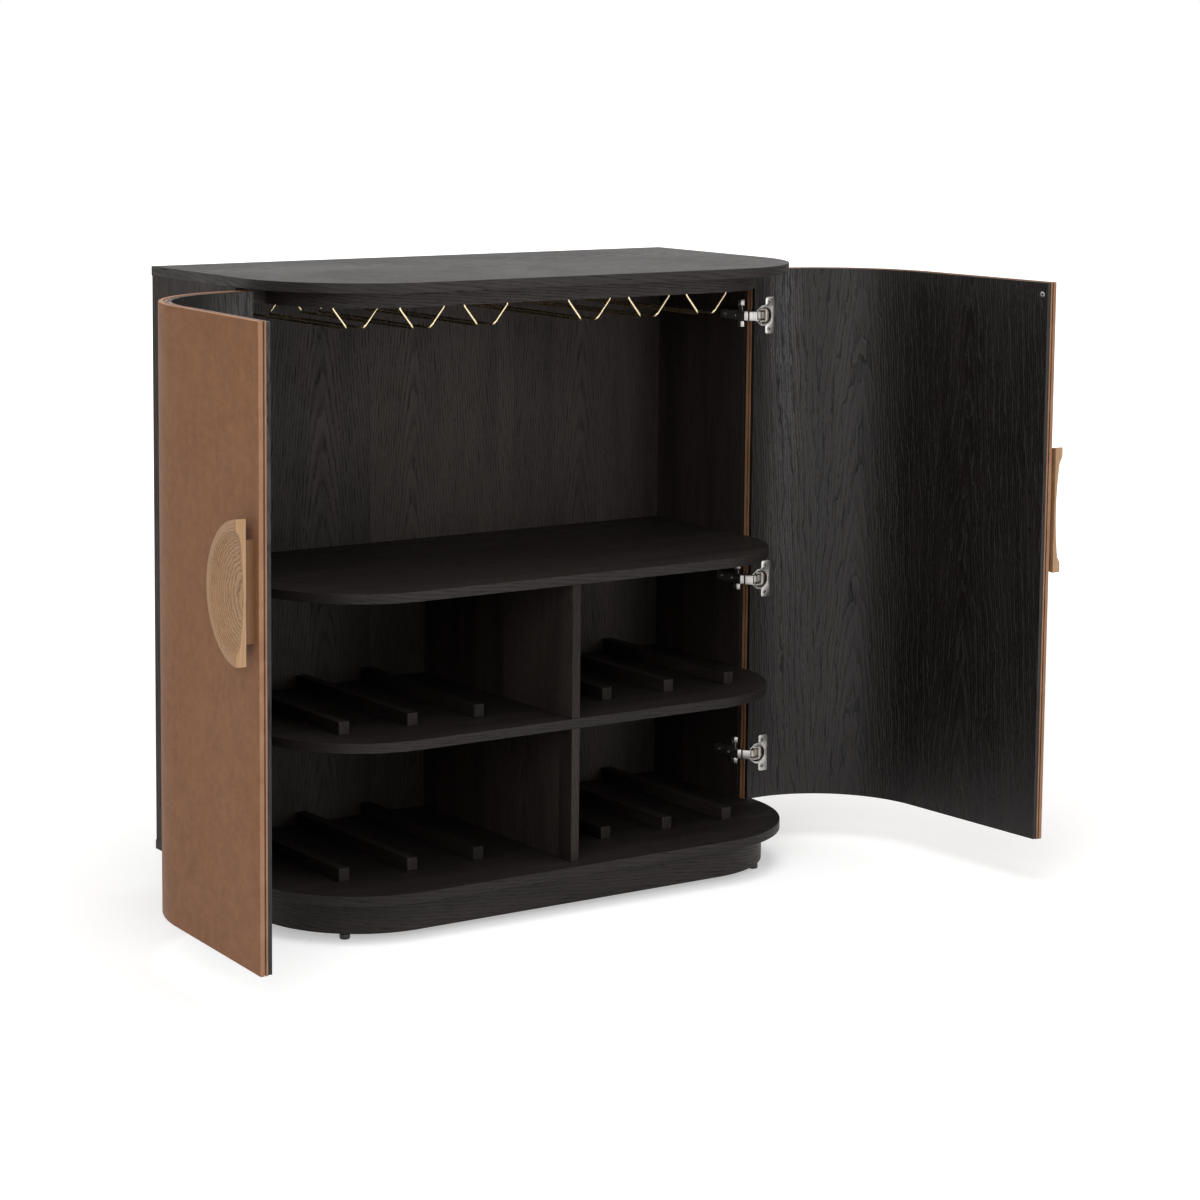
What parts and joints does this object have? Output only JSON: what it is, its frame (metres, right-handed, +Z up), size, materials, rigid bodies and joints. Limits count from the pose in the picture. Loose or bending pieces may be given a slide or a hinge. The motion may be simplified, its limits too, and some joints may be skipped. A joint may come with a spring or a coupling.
{
  "type": "bar cabinet",
  "caption": "Free-standing bar cabinet with round front corners, bent leather-faced doors, shelves, bottle rails and wire stemware hangers.",
  "frame": {"origin": "on the floor, at the middle of the plan of the whole part with its doors open as stored", "axes": "+X to the right seen from the front, +Y to the back, +Z up; the doors open towards -Y"},
  "size_m": [1.5994, 0.8056, 1.063],
  "materials": {
    "black_oak": "black-stained open-grain oak veneer, satin lacquer",
    "door_oak": "black-stained open-grain oak veneer on bent board, satin lacquer",
    "tan_leather": "tan leather wrapped over a bent panel, fine pebble grain",
    "handle_oak": "natural oak, oiled, turned dish",
    "stand_oak": "natural oak, oiled",
    "hanger_brass": "brushed brass wire",
    "hinge_nickel": "nickel-plated pressed steel",
    "screw_nickel": "nickel-plated steel",
    "strike_steel": "satin steel",
    "dowel_beech": "plain beech",
    "foot_black": "black moulded foot"
  },
  "bodies": {
    "carcass": {"top_panel": "black_oak", "sub_top": "black_oak", "left_side_panel": "black_oak", "right_side_panel": "black_oak", "back_panel": "black_oak", "mid_shelf": "black_oak", "lower_shelf": "black_oak", "bottom_panel": "black_oak", "upper_divider": "black_oak", "lower_divider": "black_oak", "plinth_band": "black_oak", "plinth_back_rail": "black_oak", "lower_right_rail_1": "black_oak", "lower_right_rail_2": "black_oak", "lower_right_rail_3": "black_oak", "lower_left_rail_1": "black_oak", "lower_left_rail_2": "black_oak", "lower_left_rail_3": "black_oak", "upper_right_rail_1": "black_oak", "upper_right_rail_2": "black_oak", "upper_right_rail_3": "black_oak", "upper_left_rail_1": "black_oak", "upper_left_rail_2": "black_oak", "upper_left_rail_3": "black_oak", "stem_hanger_1": "hanger_brass", "stem_hanger_2": "hanger_brass", "stem_hanger_3": "hanger_brass", "stem_hanger_4": "hanger_brass", "stem_hanger_5": "hanger_brass", "stem_hanger_6": "hanger_brass", "carcass_dowels": "dowel_beech", "levelling_feet": "foot_black", "left_hinge_plates": "hinge_nickel", "left_hinge_arms": "hinge_nickel", "left_plate_screws": "screw_nickel", "right_hinge_plates": "hinge_nickel", "right_hinge_arms": "hinge_nickel", "right_plate_screws": "screw_nickel"},
    "left_door": {"left_leather_panel": "tan_leather", "left_door_board": "door_oak", "left_handle": "handle_oak", "left_handle_stand": "stand_oak", "left_handle_bolts": "screw_nickel", "left_hinge_cups": "hinge_nickel", "left_cup_screws": "screw_nickel", "left_strike_disc": "strike_steel"},
    "right_door": {"right_leather_panel": "tan_leather", "right_door_board": "door_oak", "right_handle": "handle_oak", "right_handle_stand": "stand_oak", "right_handle_bolts": "screw_nickel", "right_hinge_cups": "hinge_nickel", "right_cup_screws": "screw_nickel", "right_strike_disc": "strike_steel"}
  },
  "joints": [
    {"name": "left_door_hinge", "type": "hinge", "parent": "carcass", "child": "left_door", "pos_m": [-0.514, 0.09678, 0.4855], "axis": [0, 0, -1], "range_deg": [-93.3, 11.7]},
    {"name": "right_door_hinge", "type": "hinge", "parent": "carcass", "child": "right_door", "pos_m": [0.514, 0.09678, 0.4855], "axis": [0, 0, 1], "range_deg": [-93.3, 11.7]}
  ]
}
